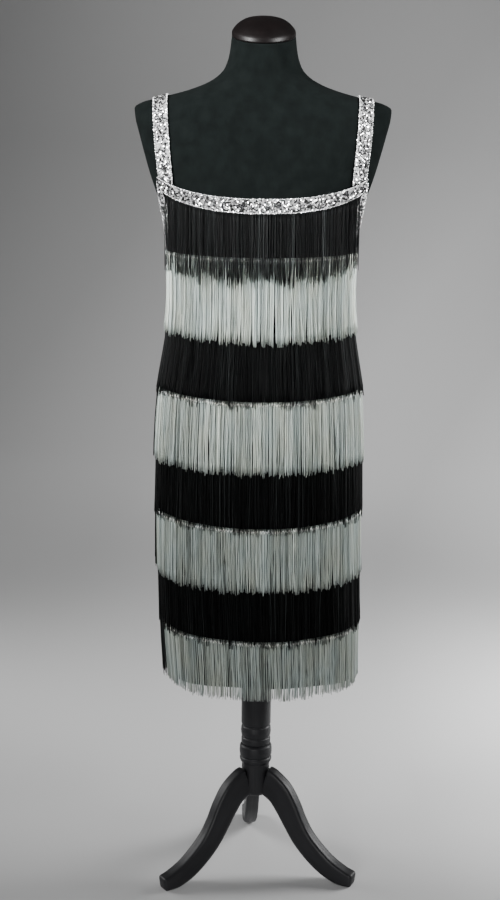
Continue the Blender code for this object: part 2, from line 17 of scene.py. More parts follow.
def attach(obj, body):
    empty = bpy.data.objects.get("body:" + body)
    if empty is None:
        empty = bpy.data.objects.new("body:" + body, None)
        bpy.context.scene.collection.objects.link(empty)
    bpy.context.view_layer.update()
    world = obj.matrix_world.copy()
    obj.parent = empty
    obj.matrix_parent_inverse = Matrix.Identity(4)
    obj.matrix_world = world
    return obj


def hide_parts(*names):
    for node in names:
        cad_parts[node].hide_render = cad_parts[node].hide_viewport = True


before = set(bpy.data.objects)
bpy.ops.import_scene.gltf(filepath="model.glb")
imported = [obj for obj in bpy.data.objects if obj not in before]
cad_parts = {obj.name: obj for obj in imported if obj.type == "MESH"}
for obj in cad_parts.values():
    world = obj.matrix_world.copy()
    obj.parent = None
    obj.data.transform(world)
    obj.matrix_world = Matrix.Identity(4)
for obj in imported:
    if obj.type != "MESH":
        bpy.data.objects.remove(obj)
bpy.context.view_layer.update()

Section = namedtuple("Section", "z half_width front back squareness")
Fold = namedtuple("Fold", "turn depth spread top")
Crease = namedtuple("Crease", "turn z slant length spread depth")
Tier = namedtuple("Tier", "shade heading tip rise first ragged pitch")
Station = namedtuple("Station", "reach height depth")


def table(kind, *rows):
    """A table with named columns, from its plain rows."""
    return [kind(*row) for row in rows]


# Sizes that the frame also has.
AXIS_Y = -0.0334
SEAM_GAP = 0.0003
STRIP_GAP = 0.0004
CLOTH = 0.0015
EASE = 0.0025
TRIM_WIDTH = 0.022
ARMHOLE_START = 1.2
HEM_Z = 0.361
UNDERARM_Z = 1.102
FRONT_NECK_Z = 1.158
BACK_NECK_Z = 1.163
CORNER_Z = 1.190
NECK_DIP = 2.6
ARMHOLE_DIP = 1.7
LOCK_PITCH = 11.25
LOCK_GAP = 2.25
CORNER_TURN = 55.125
STRIP_HEIGHT = 0.009
FIRST_ROW_EVENED = 0.4
LOWEST_SPREAD = 0.0016
SWAY = 0.008
SWAY_TOP_Z = 0.640
LEAN_FROM_Z = 1.345
NECK_LEAN = 0.30
STRAP_LOW_X = 0.151
STRAP_HIGH_X = 0.163
STRAP_HUB_Y = 0.010
STRAP_HUB_Z = 1.215

FORM_SECTIONS = table(
    Section,
    (0.665, 0.1460, 0.0940, 0.1000, 2.20),
    (0.675, 0.1530, 0.0990, 0.1060, 2.20),
    (0.710, 0.1580, 0.1040, 0.1130, 2.20),
    (0.760, 0.1600, 0.1060, 0.1160, 2.20),
    (0.810, 0.1560, 0.1020, 0.1100, 2.20),
    (0.860, 0.1440, 0.0960, 0.0990, 2.20),
    (0.900, 0.1310, 0.0910, 0.0890, 2.20),
    (0.940, 0.1230, 0.0890, 0.0830, 2.20),
    (0.980, 0.1240, 0.0920, 0.0840, 2.20),
    (1.020, 0.1310, 0.1000, 0.0880, 2.25),
    (1.060, 0.1410, 0.1110, 0.0940, 2.30),
    (1.095, 0.1490, 0.1160, 0.0990, 2.35),
    (1.125, 0.1560, 0.1130, 0.1020, 2.50),
    (1.160, 0.1680, 0.1060, 0.1040, 2.70),
    (1.195, 0.1800, 0.0960, 0.1040, 2.90),
    (1.230, 0.1900, 0.0850, 0.1010, 3.00),
    (1.260, 0.1980, 0.0750, 0.0950, 3.00),
    (1.282, 0.2035, 0.0680, 0.0880, 2.90),
    (1.298, 0.2050, 0.0630, 0.0820, 2.70),
    (1.306, 0.1945, 0.0612, 0.0785, 2.50),
    (1.315, 0.1610, 0.0597, 0.0748, 2.40),
    (1.325, 0.1230, 0.0587, 0.0703, 2.30),
    (1.336, 0.0930, 0.0581, 0.0650, 2.20),
    (1.348, 0.0730, 0.0576, 0.0590, 2.10),
    (1.362, 0.0610, 0.0575, 0.0530, 2.00),
    (1.384, 0.0540, 0.0570, 0.0480, 2.00),
    (1.410, 0.0507, 0.0560, 0.0455, 2.00),
)

CAP_SECTIONS = table(
    Section,
    (1.4103, 0.0492, 0.0545, 0.0440, 2.0),
    (1.4120, 0.0508, 0.0561, 0.0456, 2.0),
    (1.4170, 0.0506, 0.0559, 0.0454, 2.0),
    (1.4255, 0.0452, 0.0505, 0.0400, 2.0),
    (1.4345, 0.0335, 0.0388, 0.0283, 2.0),
    (1.4390, 0.0200, 0.0253, 0.0148, 2.0),
    (1.4410, 0.0030, 0.0083, -0.0022, 2.0),
)

TUBE_SECTIONS = table(
    Section,
    (HEM_Z, 0.1605, 0.1010, 0.1040, 2.30),
    (0.450, 0.1645, 0.1030, 0.1080, 2.30),
    (0.560, 0.1670, 0.1060, 0.1130, 2.30),
    (0.660, 0.1685, 0.1090, 0.1180, 2.25),
    (0.760, 0.1685, 0.1110, 0.1205, 2.20),
    (0.830, 0.1660, 0.1100, 0.1165, 2.20),
    (0.880, 0.1605, 0.1095, 0.1110, 2.20),
    (0.940, 0.1520, 0.1100, 0.1060, 2.25),
    (1.000, 0.1490, 0.1125, 0.1035, 2.30),
    (1.060, 0.1510, 0.1165, 0.1030, 2.35),
    (UNDERARM_Z, 0.1545, 0.1190, 0.1040, 2.40),
)

# Soft vertical folds that deepen from their top to the hem. A negative depth is a trough.
FOLDS = table(
    Fold,
    (8, 0.0030, 11, 0.66),
    (31, -0.0026, 10, 0.60),
    (52, 0.0034, 12, 0.68),
    (77, -0.0022, 9, 0.55),
    (104, 0.0030, 12, 0.62),
    (133, -0.0036, 11, 0.70),
    (158, 0.0030, 10, 0.58),
    (187, -0.0034, 13, 0.72),
    (214, 0.0032, 11, 0.64),
    (243, -0.0028, 10, 0.57),
    (266, 0.0022, 9, 0.60),
    (291, -0.0030, 11, 0.66),
    (318, 0.0036, 12, 0.70),
    (342, -0.0024, 9, 0.56),
)

# Small creases in the cloth alone: centre, slant in metres of drop per degree, half length and
# half width in metres, and depth.
CREASES = table(
    Crease,
    (70, 1.045, 0.0016, 0.060, 0.0060, -0.0007),
    (84, 1.010, 0.0006, 0.045, 0.0050, 0.0006),
    (64, 0.960, -0.0012, 0.040, 0.0070, -0.0006),
    (97, 0.935, 0.0008, 0.055, 0.0060, -0.0008),
    (118, 0.985, -0.0009, 0.065, 0.0080, 0.0007),
    (146, 1.020, 0.0011, 0.050, 0.0060, -0.0006),
    (172, 0.950, -0.0005, 0.070, 0.0090, -0.0008),
    (203, 0.975, 0.0010, 0.050, 0.0070, 0.0006),
    (229, 1.025, -0.0013, 0.045, 0.0060, -0.0007),
    (256, 0.955, 0.0007, 0.060, 0.0070, -0.0008),
    (277, 1.035, -0.0015, 0.050, 0.0050, -0.0006),
    (292, 0.990, -0.0008, 0.040, 0.0060, 0.0006),
    (301, 0.930, 0.0012, 0.055, 0.0080, -0.0007),
    (338, 0.905, 0.0004, 0.060, 0.0090, -0.0006),
    (21, 0.915, -0.0005, 0.050, 0.0080, -0.0006),
)

# The rows of fringe. A heading of None follows the neckline trim's lower edge, and rise is how
# much higher a heading lies at the side seams. first is the lock at which a front row starts,
# ragged how unevenly it ends, and pitch how close its strands are.
TIERS = table(
    Tier,
    ("black", None, 1.034, 0.0, 3, 0.0085, 0.0021),
    ("silver", 1.068, 0.936, 0.006, 0, 0.0045, 0.0018),
    ("black", 0.952, 0.836, 0.011, 0, 0.0062, 0.0019),
    ("silver", 0.841, 0.725, 0.012, 1, 0.0045, 0.0018),
    ("black", 0.741, 0.629, 0.011, 0, 0.0062, 0.0019),
    ("silver", 0.634, 0.529, 0.016, 1, 0.0045, 0.0018),
    ("black", 0.545, 0.438, 0.014, 0, 0.0062, 0.0019),
    ("silver", 0.442, 0.342, 0.014, 1.45, 0.0040, 0.0018),
)

LEG_THICK = 0.024
LEG_TURNS = {"left": 63.6, "right": -56.4, "back": 183.6}
LEG_STATIONS = table(
    Station,
    (0.0220, 0.1575, 0.0495),
    (0.0290, 0.1550, 0.0490),
    (0.0480, 0.1410, 0.0460),
    (0.0640, 0.1180, 0.0430),
    (0.0775, 0.0930, 0.0390),
    (0.0940, 0.0670, 0.0370),
    (0.1160, 0.0440, 0.0360),
    (0.1410, 0.0250, 0.0340),
    (0.1660, 0.0140, 0.0300),
    (0.1850, 0.0108, 0.0235),
)

# Radius and height of the turned pieces.
POLE_PROFILE = [
    (0.0240, 0.2243), (0.0253, 0.2270), (0.0253, 0.2350), (0.0232, 0.2375), (0.0252, 0.2400),
    (0.0262, 0.2480), (0.0252, 0.2560), (0.0232, 0.2585), (0.0255, 0.2610), (0.0255, 0.6647),
]
HUB_PROFILE = [
    (0.0100, 0.1310), (0.0170, 0.1316), (0.0215, 0.1338), (0.0240, 0.1390), (0.0240, 0.1900),
    (0.0262, 0.1920), (0.0276, 0.1955), (0.0276, 0.1990), (0.0255, 0.2015), (0.0276, 0.2040),
    (0.0282, 0.2120), (0.0276, 0.2200), (0.0250, 0.2240),
]

GRID = np.arange(0.330, 1.4425, 0.001)


def smooth_column(table, column, z):
    """One column of a table at height z, by a cubic that never overshoots its rows."""
    heights = [row.z for row in table]
    values = [getattr(row, column) for row in table]
    if z <= heights[0]:
        return values[0]
    if z >= heights[-1]:
        return values[-1]
    steps = [b - a for a, b in zip(heights, heights[1:])]
    rises = [(b - a) / h for a, b, h in zip(values, values[1:], steps)]
    slopes = [rises[0]]
    for before, after in zip(rises, rises[1:]):
        slopes.append(2 * before * after / (before + after) if before * after > 0 else 0.0)
    slopes.append(rises[-1])
    k = max(i for i, height in enumerate(heights[:-1]) if z >= height)
    t = (z - heights[k]) / steps[k]
    return (
        values[k] * (1 + 2 * t) * (1 - t) ** 2
        + slopes[k] * steps[k] * t * (1 - t) ** 2
        + values[k + 1] * t * t * (3 - 2 * t)
        + slopes[k + 1] * steps[k] * t * t * (t - 1)
    )


def smooth_table(table):
    """The four columns of a table of sections, at every height of the grid."""
    return [np.array([smooth_column(table, name, z) for z in GRID]) for name in Section._fields[1:]]


FORM_RINGS = smooth_table(FORM_SECTIONS)
CAP_RINGS = smooth_table(CAP_SECTIONS)
TUBE_RINGS = smooth_table(TUBE_SECTIONS)
WALL_EASES = (EASE, EASE, EASE, 0)
WALL_RINGS = [np.maximum(tube, form + ease) for tube, form, ease in zip(TUBE_RINGS, FORM_RINGS, WALL_EASES)]


def ring(rings, turn, z):
    """Points (x, y) of the rounded outlines that a table has at these heights."""
    half_width, front, back, power = [np.interp(z, GRID, column) for column in rings]
    across, ahead = np.sin(np.radians(turn)), np.cos(np.radians(turn))
    swell = (np.abs(across) ** power + np.abs(ahead) ** power) ** (-1 / power)
    depth = np.where(ahead > 0, front, back)
    return np.stack([half_width * across * swell, -depth * ahead * swell], -1)


def turn_apart(a, b):
    """How far two turns lie apart, at most half a circle."""
    return np.abs((a - b + 180) % 360 - 180)


def fold_depth(turn, z):
    """How far the folds move the cloth out."""
    depth = np.zeros(np.broadcast(turn, z).shape)
    for fold in FOLDS:
        fall = np.maximum(fold.top - z, 0) / (fold.top - HEM_Z)
        side = turn_apart(turn, fold.turn) / fold.spread
        depth += fold.depth * fall * np.exp(-side * side)
    return depth


def wall(turn, z, out):
    """Points of the dress's wall, moved out of its inner surface. Below the hem they hang straight."""
    turn, z, out = np.broadcast_arrays(turn, z, out)
    level = np.maximum(z, HEM_Z)
    here = ring(WALL_RINGS, turn, level)
    along = ring(WALL_RINGS, turn + 0.5, level) - ring(WALL_RINGS, turn - 0.5, level)
    along /= np.linalg.norm(along, axis=-1, keepdims=True)
    push = out + fold_depth(turn, level)
    aside = SWAY * (np.maximum(SWAY_TOP_Z - level, 0) / (SWAY_TOP_Z - HEM_Z)) ** 1.5
    x = here[..., 0] + along[..., 1] * push + aside
    y = here[..., 1] - along[..., 0] * push + AXIS_Y
    return np.stack([x, y, z], -1)


def top_edge(turn):
    """The height of the dress's upper edge: a neckline between the corners, and armholes beyond them."""
    side = turn_apart(np.asarray(turn, float), 0)
    centre = np.where(side <= 90, FRONT_NECK_Z, BACK_NECK_Z)
    side = np.minimum(side, 180 - side)
    neck = centre + (CORNER_Z - centre) * (side / CORNER_TURN) ** NECK_DIP
    beyond = np.clip((side - CORNER_TURN) / (90 - CORNER_TURN), 0, 1)
    arm = UNDERARM_Z + (CORNER_Z - UNDERARM_Z) * (1 - beyond) ** ARMHOLE_DIP
    return np.where(side <= CORNER_TURN, neck, arm)


def unit(vectors):
    return vectors / np.maximum(np.linalg.norm(vectors, axis=-1, keepdims=True), 1e-12)


def cumulated(points):
    """The length along a line of points, from its start to each of them."""
    return np.concatenate([[0], np.cumsum(np.linalg.norm(np.diff(points, axis=0), axis=1))])


def placed(name, data):
    """A new object in the scene."""
    made = bpy.data.objects.new(name, data)
    bpy.context.scene.collection.objects.link(made)
    return made


class Pile:
    """Gathers the points and faces of one piece, with a finish, a shading and a map for each of them."""

    def __init__(self):
        self.points, self.faces, self.finishes, self.smooth, self.maps = [], [], [], [], []
        self.count = 0

    def add(self, points, faces, finish=0, smooth=True, maps=None):
        points = np.reshape(points, (-1, 3))
        self.points.append(points)
        self.maps.append(np.zeros((len(points), 2)) if maps is None else np.reshape(maps, (-1, 2)))
        for group in faces:
            group = np.asarray(group) + self.count
            self.faces += group.tolist()
            self.finishes += [finish] * len(group)
            self.smooth += [smooth] * len(group)
        self.count += len(points)

    def laid(self, name, finishes):
        """The object, with these finishes and its map in the layer named along."""
        mesh = bpy.data.meshes.new(name)
        mesh.from_pydata(np.concatenate(self.points).tolist(), [], self.faces)
        for finish in finishes:
            mesh.materials.append(finish)
        mesh.polygons.foreach_set("material_index", self.finishes)
        mesh.polygons.foreach_set("use_smooth", self.smooth)
        corners = np.empty(len(mesh.loops), np.int32)
        mesh.loops.foreach_get("vertex_index", corners)
        layer = mesh.uv_layers.new(name="along")
        layer.uv.foreach_set("vector", np.concatenate(self.maps)[corners].astype(np.float32).ravel())
        return placed(name, mesh)

    def piece(self, name, finishes, replaced=()):
        """The object as a piece of the part: it rides on the root body, and the frame's pieces it replaces
        are hidden.
        """
        made = self.laid(name, finishes)
        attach(made, "root")
        if replaced:
            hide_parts(*replaced)
        return made


def grid_faces(rows, columns, start=0, wrapped=False):
    """The faces of a grid of points stored row by row. A wrapped grid's last column meets its first."""
    r, c = np.meshgrid(np.arange(rows - 1), np.arange(columns if wrapped else columns - 1), indexing="ij")
    d = (c + 1) % columns
    quads = np.stack([r * columns + c, r * columns + d, (r + 1) * columns + d, (r + 1) * columns + c], -1)
    return quads.reshape(-1, 4) + start


def add_shell(pile, inner, outer, finish=0, wrapped=False, maps=None):
    """A closed thin wall between two grids of the same rows and columns, with its faces turned out."""
    rows, columns = inner.shape[:2]
    shift = rows * columns
    faces = [grid_faces(rows, columns, shift, wrapped), grid_faces(rows, columns, 0, wrapped)[:, ::-1]]
    if wrapped:
        bottom = list(range(columns)) + [0]
        top = [(rows - 1) * columns + c for c in range(columns)] + [(rows - 1) * columns]
        rims = [bottom, top[::-1]]
    else:
        rim = list(range(columns)) + [(r + 1) * columns - 1 for r in range(1, rows)]
        rim += [(rows - 1) * columns + c for c in range(columns - 2, -1, -1)]
        rim += [r * columns for r in range(rows - 2, -1, -1)]
        rims = [rim]
    for rim in rims:
        a, b = np.array(rim[:-1]), np.array(rim[1:])
        faces.append(np.stack([a, b, b + shift, a + shift], -1))
    both = None if maps is None else np.concatenate([maps.reshape(-1, 2)] * 2)
    pile.add(np.concatenate([inner.reshape(-1, 3), outer.reshape(-1, 3)]), faces, finish, True, both)


def add_rings(pile, rings, finish=0, maps=None):
    """A solid of stacked rings, which run anticlockwise seen from above, closed flat at both ends."""
    rows, columns = rings.shape[:2]
    last = (rows - 1) * columns
    ends = [[list(range(columns))[::-1]], [list(range(last, last + columns))]]
    pile.add(rings, [grid_faces(rows, columns, 0, True)] + ends, finish, True, maps)


# Materials. Each is made of nodes, and its even values stand on the shader's own sockets.


def add_node(tree, kind, settings=None, **inputs):
    made = tree.nodes.new("ShaderNode" + kind)
    for key, value in (settings or {}).items():
        setattr(made, key, value)
    for key, value in inputs.items():
        socket = made.inputs[key.replace("_", " ")]
        if isinstance(value, bpy.types.NodeSocket):
            tree.links.new(value, socket)
        else:
            socket.default_value = value
    return made


def material(name, **sockets):
    """A new material with these values on its shader's sockets."""
    made = bpy.data.materials.new(name)
    made.use_nodes = True
    shader = made.node_tree.nodes["Principled BSDF"]
    for key, value in sockets.items():
        shader.inputs[key.replace("_", " ")].default_value = value
    return made, made.node_tree


def joined(made, **outputs):
    """A material whose shader takes these outputs of its nodes."""
    tree = made.node_tree
    shader = tree.nodes["Principled BSDF"]
    for key, output in outputs.items():
        tree.links.new(output, shader.inputs[key.replace("_", " ")])
    return made


def places(tree, stretch=(1, 1, 1), mapped=False):
    """Coordinates in metres: the object's own, or along a piece's length where it is mapped."""
    if mapped:
        source = add_node(tree, "UVMap", {"uv_map": "along"}).outputs["UV"]
    else:
        source = add_node(tree, "TexCoord").outputs["Object"]
    return add_node(tree, "Mapping", Vector=source, Scale=stretch).outputs["Vector"]


def map_number(tree):
    """The map's first number: each strand, sequin or bead has its own, and the stage its painted shade."""
    mapped = add_node(tree, "UVMap", {"uv_map": "along"}).outputs["UV"]
    return add_node(tree, "SeparateXYZ", Vector=mapped).outputs["X"]


def noise(tree, vector, scale, detail=2.0, roughness=0.5):
    made = add_node(tree, "TexNoise", Vector=vector, Scale=scale, Detail=detail, Roughness=roughness)
    return made.outputs["Fac"]


def wave(tree, vector, direction, scale, distortion):
    settings = {"bands_direction": direction}
    made = add_node(tree, "TexWave", settings, Vector=vector, Scale=scale, Distortion=distortion)
    return made.outputs["Fac"]


def ramp(tree, value, stops):
    """Colours or greys over a value, given as (place, colour)."""
    made = add_node(tree, "ValToRGB", Fac=value)
    scale = made.color_ramp
    for k, (place, colour) in enumerate(stops):
        stop = scale.elements[k] if k < 2 else scale.elements.new(place)
        stop.position = place
        stop.color = (*colour, 1) if hasattr(colour, "__len__") else (colour, colour, colour, 1)
    return made.outputs["Color"]


def bump(tree, height, distance, strength=1.0, under=None):
    made = add_node(tree, "Bump", Height=height, Distance=distance, Strength=strength)
    if under is not None:
        tree.links.new(under, made.inputs["Normal"])
    return made.outputs["Normal"]


def knit_material(name, dark, painted_shine, rib, distance):
    """A matt knitted cloth: fine ribs, loops across them, and a little lint."""
    made, tree = material(name, Roughness=0.95, Specular_IOR_Level=0.06)
    where = places(tree)
    woven = add_node(tree, "Math", {"operation": "MULTIPLY"})
    tree.links.new(wave(tree, where, "X", rib, 0.6), woven.inputs[0])
    tree.links.new(wave(tree, where, "Z", rib * 1.3, 0.6), woven.inputs[1])
    mottled = noise(tree, where, 55.0, 4.0)
    fuzz = bump(tree, noise(tree, where, 1400.0), 0.00012)
    return joined(
        made,
        Base_Color=ramp(tree, mottled, [(0.3, dark), (0.75, painted_shine)]),
        Normal=bump(tree, woven.outputs["Value"], distance, 1.0, fuzz),
    )


def gloss_material():
    """Hard black plastic with a faint unevenness and dust."""
    made, tree = material("cap_plastic", Specular_IOR_Level=0.14)
    where = places(tree)
    shades = [(0.3, (0.0014, 0.0009, 0.0009)), (0.8, (0.0026, 0.0016, 0.0016))]
    return joined(
        made,
        Base_Color=ramp(tree, noise(tree, where, 30.0), shades),
        Roughness=ramp(tree, noise(tree, where, 260.0, 6.0), [(0.35, 0.42), (0.80, 0.50)]),
        Normal=bump(tree, noise(tree, where, 70.0), 0.00006),
    )


def wood_material():
    """Wood with satin black paint: fine grain under it, brush lines and rubbed spots."""
    made, tree = material("painted_wood", Specular_IOR_Level=0.26)
    grain = noise(tree, places(tree, (420, 16, 1), True), 1.0, 5.0, 0.6)
    broad = noise(tree, places(tree, (60, 9, 1), True), 1.0, 3.0)
    worn = [(0.30, (0.014, 0.014, 0.0155)), (0.62, (0.021, 0.021, 0.0235)), (0.85, (0.033, 0.032, 0.032))]
    return joined(
        made,
        Base_Color=ramp(tree, broad, worn),
        Roughness=ramp(tree, grain, [(0.25, 0.36), (0.80, 0.56)]),
        Normal=bump(tree, grain, 0.00018, 0.8, bump(tree, broad, 0.0004, 0.5)),
    )


def strand_material(name, shades, roughness, shine, sheen, tint):
    """Shiny twisted yarn. The map holds a number for each strand, and the metres along it."""
    made, tree = material(
        name, Roughness=roughness, Specular_IOR_Level=shine, Sheen_Weight=sheen, Sheen_Roughness=0.4
    )
    shade = ramp(tree, map_number(tree), shades)
    tints = [(0.36, (0.93, 1.0, 1.02)), (0.64, (1.01, 1.0, 0.92))]
    patches = ramp(tree, noise(tree, places(tree, (1, 1, 0.35)), 42.0, 3.0), tints)
    # Painted shine: lighter and darker streaks along each strand, multiplied into its colour.
    painted_shine_streaks = noise(tree, places(tree, (90, 14, 1), True), 1.0, 3.0)
    painted_shine = ramp(tree, painted_shine_streaks, [(0.25, 0.72), (0.75, 1.0)])
    for share, over in ((tint, patches), (0.8, painted_shine)):
        mixed = add_node(tree, "MixRGB", {"blend_type": "MULTIPLY"}, Fac=share, Color1=shade, Color2=over)
        shade = mixed.outputs["Color"]
    twist = wave(tree, places(tree, (3, 1, 1), True), "Y", 190.0, 0.4)
    return joined(made, Base_Color=shade, Normal=bump(tree, twist, 0.00014, 0.7))


def metal_material(name, shades, roughness, metallic):
    """Small metal bits, each of a shade drawn at random from the ramp."""
    made, tree = material(name, Metallic=metallic)
    number = map_number(tree)
    return joined(
        made,
        Base_Color=ramp(tree, number, shades),
        Roughness=ramp(tree, number, [(0.0, roughness + 0.18), (0.6, roughness)]),
        Normal=bump(tree, noise(tree, places(tree), 2200.0, 2.0), 0.00005, 0.6),
    )


def ribbon_material():
    """The metal-threaded ribbon that carries the sequins."""
    made, tree = material("trim_ribbon", Metallic=0.55, Roughness=0.42)
    threads = wave(tree, places(tree), "DIAGONAL", 300.0, 2.0)
    shades = [(0.2, (0.03, 0.03, 0.032)), (0.7, (0.22, 0.22, 0.23))]
    return joined(made, Base_Color=ramp(tree, threads, shades), Normal=bump(tree, threads, 0.0002, 0.8))


def painted_shade_material(name, stops):
    """A plain surface with a painted shade, which follows the map."""
    made, tree = material(name, Roughness=0.95, Specular_IOR_Level=0.05)
    rough = bump(tree, noise(tree, places(tree), 40.0, 4.0), 0.0002, 0.3)
    return joined(made, Base_Color=ramp(tree, map_number(tree), stops), Normal=rough)


# The black yarn's shades: its own near-black, with a painted highlight on the few strands that take the top
# end, 0.85 to 1.0.
BLACK_SHADES_AND_SHINE = [
    (0.0, (0.0006, 0.0007, 0.0008)), (0.55, (0.0016, 0.0019, 0.0020)),
    (0.85, (0.0070, 0.0082, 0.0082)), (1.0, (0.030, 0.034, 0.034)),
]
# The silver yarn's shades: each strand's tone at random, spread wide so that the brighter strands carry
# painted shine and the darker ones painted shade between strands. The last stop, near white, is a painted
# highlight on the stitches.
SILVER_SHADES_AND_SHINE = [
    (0.0, (0.13, 0.145, 0.133)), (0.30, (0.35, 0.39, 0.362)),
    (0.985, (0.70, 0.76, 0.716)), (1.0, (1.0, 1.0, 0.98)),
]
COVER = knit_material("form_jersey", (0.0013, 0.0021, 0.0020), (0.0027, 0.0040, 0.0038), 300.0, 0.00012)
FABRIC = knit_material("dress_knit", (0.0020, 0.0020, 0.0022), (0.0040, 0.0040, 0.0043), 230.0, 0.00022)
PLASTIC = gloss_material()
WOOD = wood_material()
YARNS = {
    "black": strand_material("black_yarn", BLACK_SHADES_AND_SHINE, 0.45, 0.12, 0.0, 0.0),
    "silver": strand_material("silver_yarn", SILVER_SHADES_AND_SHINE, 0.34, 0.5, 0.1, 0.75),
}
TRIM_FINISHES = [
    ribbon_material(),
    # The sequins' ramp paints nearly half of them near black: painted shade for sequins that catch no light.
    # The rest are bright silver.
    metal_material("sequins", [(0.0, 0.008), (0.42, 0.04), (0.52, 0.90), (1.0, 1.0)], 0.14, 0.70),
    metal_material("pale_beads", [(0.0, 0.30), (0.4, 0.85), (1.0, 0.97)], 0.18, 0.6),
    metal_material("dark_beads", [(0.0, 0.012), (0.6, 0.05), (1.0, 0.16)], 0.25, 0.7),
]
SEQUINS, PALE_BEADS, DARK_BEADS = 1, 2, 3


# The dress form and its stand.


def form_rings(rings, heights, columns):
    """Rings of the form. The upper neck leans: its front is lower than its back."""
    turns = np.arange(columns) * 360 / columns
    turn, z = np.meshgrid(turns, heights)
    flat = ring(rings, turn, z)
    lean = NECK_LEAN * np.clip((z - LEAN_FROM_Z) / (FORM_SECTIONS[-1].z - LEAN_FROM_Z), 0, 1)
    return np.stack([flat[..., 0], flat[..., 1] + AXIS_Y, z + flat[..., 1] * lean], -1)


def torso():
    heights = list(np.arange(0.665, 1.278, 0.009)) + list(np.arange(1.280, 1.350, 0.0035))
    heights += list(np.arange(1.352, 1.4095, 0.0055)) + [FORM_SECTIONS[-1].z]
    pile = Pile()
    add_rings(pile, form_rings(FORM_RINGS, heights, 144))
    return pile.piece("torso_cover", [COVER], ["form_torso"])


def neck_cap():
    heights = [1.4103, 1.4108, 1.4114, 1.4120, 1.4135]
    heights += list(np.arange(1.4150, 1.4400, 0.0012)) + [1.4402, 1.4407, 1.4410]
    pile = Pile()
    add_rings(pile, form_rings(CAP_RINGS, heights, 96))
    return pile.piece("neck_cap", [PLASTIC], ["form_neck_cap"])


def softened(profile, cut):
    """A profile whose corners are cut round."""
    line = [profile[0]]
    for before, here, after in zip(profile, profile[1:], profile[2:]):
        before, here, after = (np.array(p) for p in (before, here, after))
        start = here + (before - here) * min(0.45, cut / np.linalg.norm(before - here))
        end = here + (after - here) * min(0.45, cut / np.linalg.norm(after - here))
        for t in (0, 0.33, 0.67, 1):
            line.append(tuple(start * (1 - t) ** 2 + here * 2 * t * (1 - t) + end * t * t))
    return line + [profile[-1]]


def turned(name, profile, replaced, sides=72):
    """A piece turned on a lathe."""
    rows = np.array(softened(profile, 0.0012))
    angles = 2 * np.pi * np.arange(sides) / sides
    radius, z = rows[:, :1], rows[:, 1:]
    rings = np.stack(np.broadcast_arrays(radius * np.sin(angles), -radius * np.cos(angles) + AXIS_Y, z), -1)
    maps = np.stack(np.broadcast_arrays(angles * 0.025, z), -1)
    pile = Pile()
    add_rings(pile, rings, 0, maps)
    return pile.piece(name, [WOOD], [replaced])


def spline(values, steps):
    """A smooth line through rows of values, by equal steps between them."""
    rows = np.array(values, float)
    padded = np.vstack([2 * rows[0] - rows[1], rows, 2 * rows[-1] - rows[-2]])
    line = []
    for k in range(1, len(padded) - 2):
        p, q, r, s = padded[k - 1 : k + 3]
        for t in np.arange(steps) / steps:
            bend, twist = 2 * p - 5 * q + 4 * r - s, 3 * q - p - 3 * r + s
            line.append(0.5 * (2 * q + (r - p) * t + bend * t * t + twist * t**3))
    return np.array(line + [rows[-1]])


def leg(word, turn):
    """A curved board with softened edges and a rounded foot."""
    line = spline(LEG_STATIONS, 6)
    path, depth = line[:, :2], line[:, 2]
    along = unit(np.gradient(path, axis=0))
    foot = np.array([(0.0015, 0.96), (0.0028, 0.85), (0.0037, 0.66), (0.0042, 0.35)])
    path = np.vstack([path, path[-1] + along[-1] * foot[:, :1]])
    depth = np.concatenate([depth, depth[-1] * foot[:, 1]])
    width = np.concatenate([np.ones(len(line)), foot[:, 1]]) * LEG_THICK
    along = np.vstack([along, np.repeat(along[-1:], len(foot), 0)])
    across = np.stack([-along[:, 1], along[:, 0]], -1)
    angles = 2 * np.pi * (np.arange(40) + 0.5) / 40
    power = 7.0
    swell = (np.abs(np.cos(angles)) ** power + np.abs(np.sin(angles)) ** power) ** (-1 / power)
    up = depth[:, None] / 2 * np.cos(angles) * swell
    side = width[:, None] / 2 * np.sin(angles) * swell
    reach = path[:, :1] + across[:, :1] * up
    height = np.maximum(path[:, 1:] + across[:, 1:] * up, 0)
    a = math.radians(turn)
    x = math.sin(a) * reach + math.cos(a) * side
    y = -math.cos(a) * reach + math.sin(a) * side + AXIS_Y
    length = cumulated(path)[:, None]
    maps = np.stack(np.broadcast_arrays(angles * 0.012, length), -1)
    pile = Pile()
    add_rings(pile, np.stack([x, y, height], -1)[:, ::-1], 0, maps[:, ::-1])
    return pile.piece(f"leg_{word}", [WOOD], [f"stand_leg_{word}"])


# The dress's cloth. Its hem is turned up, thicker by a little, and eases into the single cloth.

HEM_TURN_UP = 0.0125
HEM_THICKER = 0.00022
HEM_EASES_OVER = 0.0006


def crease_depth(turn, z):
    """How far the small creases move the cloth, with the pucker along both side seams."""
    depth = np.zeros(np.broadcast(turn, z).shape)
    for crease in CREASES:
        side = (turn - crease.turn + 180) % 360 - 180
        along = (z - crease.z + crease.slant * side) / crease.length
        wide = side * 0.0024 / crease.spread + 0.25 * np.sin(along * 2.0)
        depth += crease.depth * np.exp(-along * along - wide * wide)
    seam = np.minimum(turn_apart(turn, 90), turn_apart(turn, 270))
    depth -= 0.0005 * np.exp(-((seam / 0.35) ** 2))
    depth += 0.00018 * np.exp(-((seam / 3.0) ** 2)) * np.sin(z * 520 + np.sin(z * 90) * 2)
    return depth


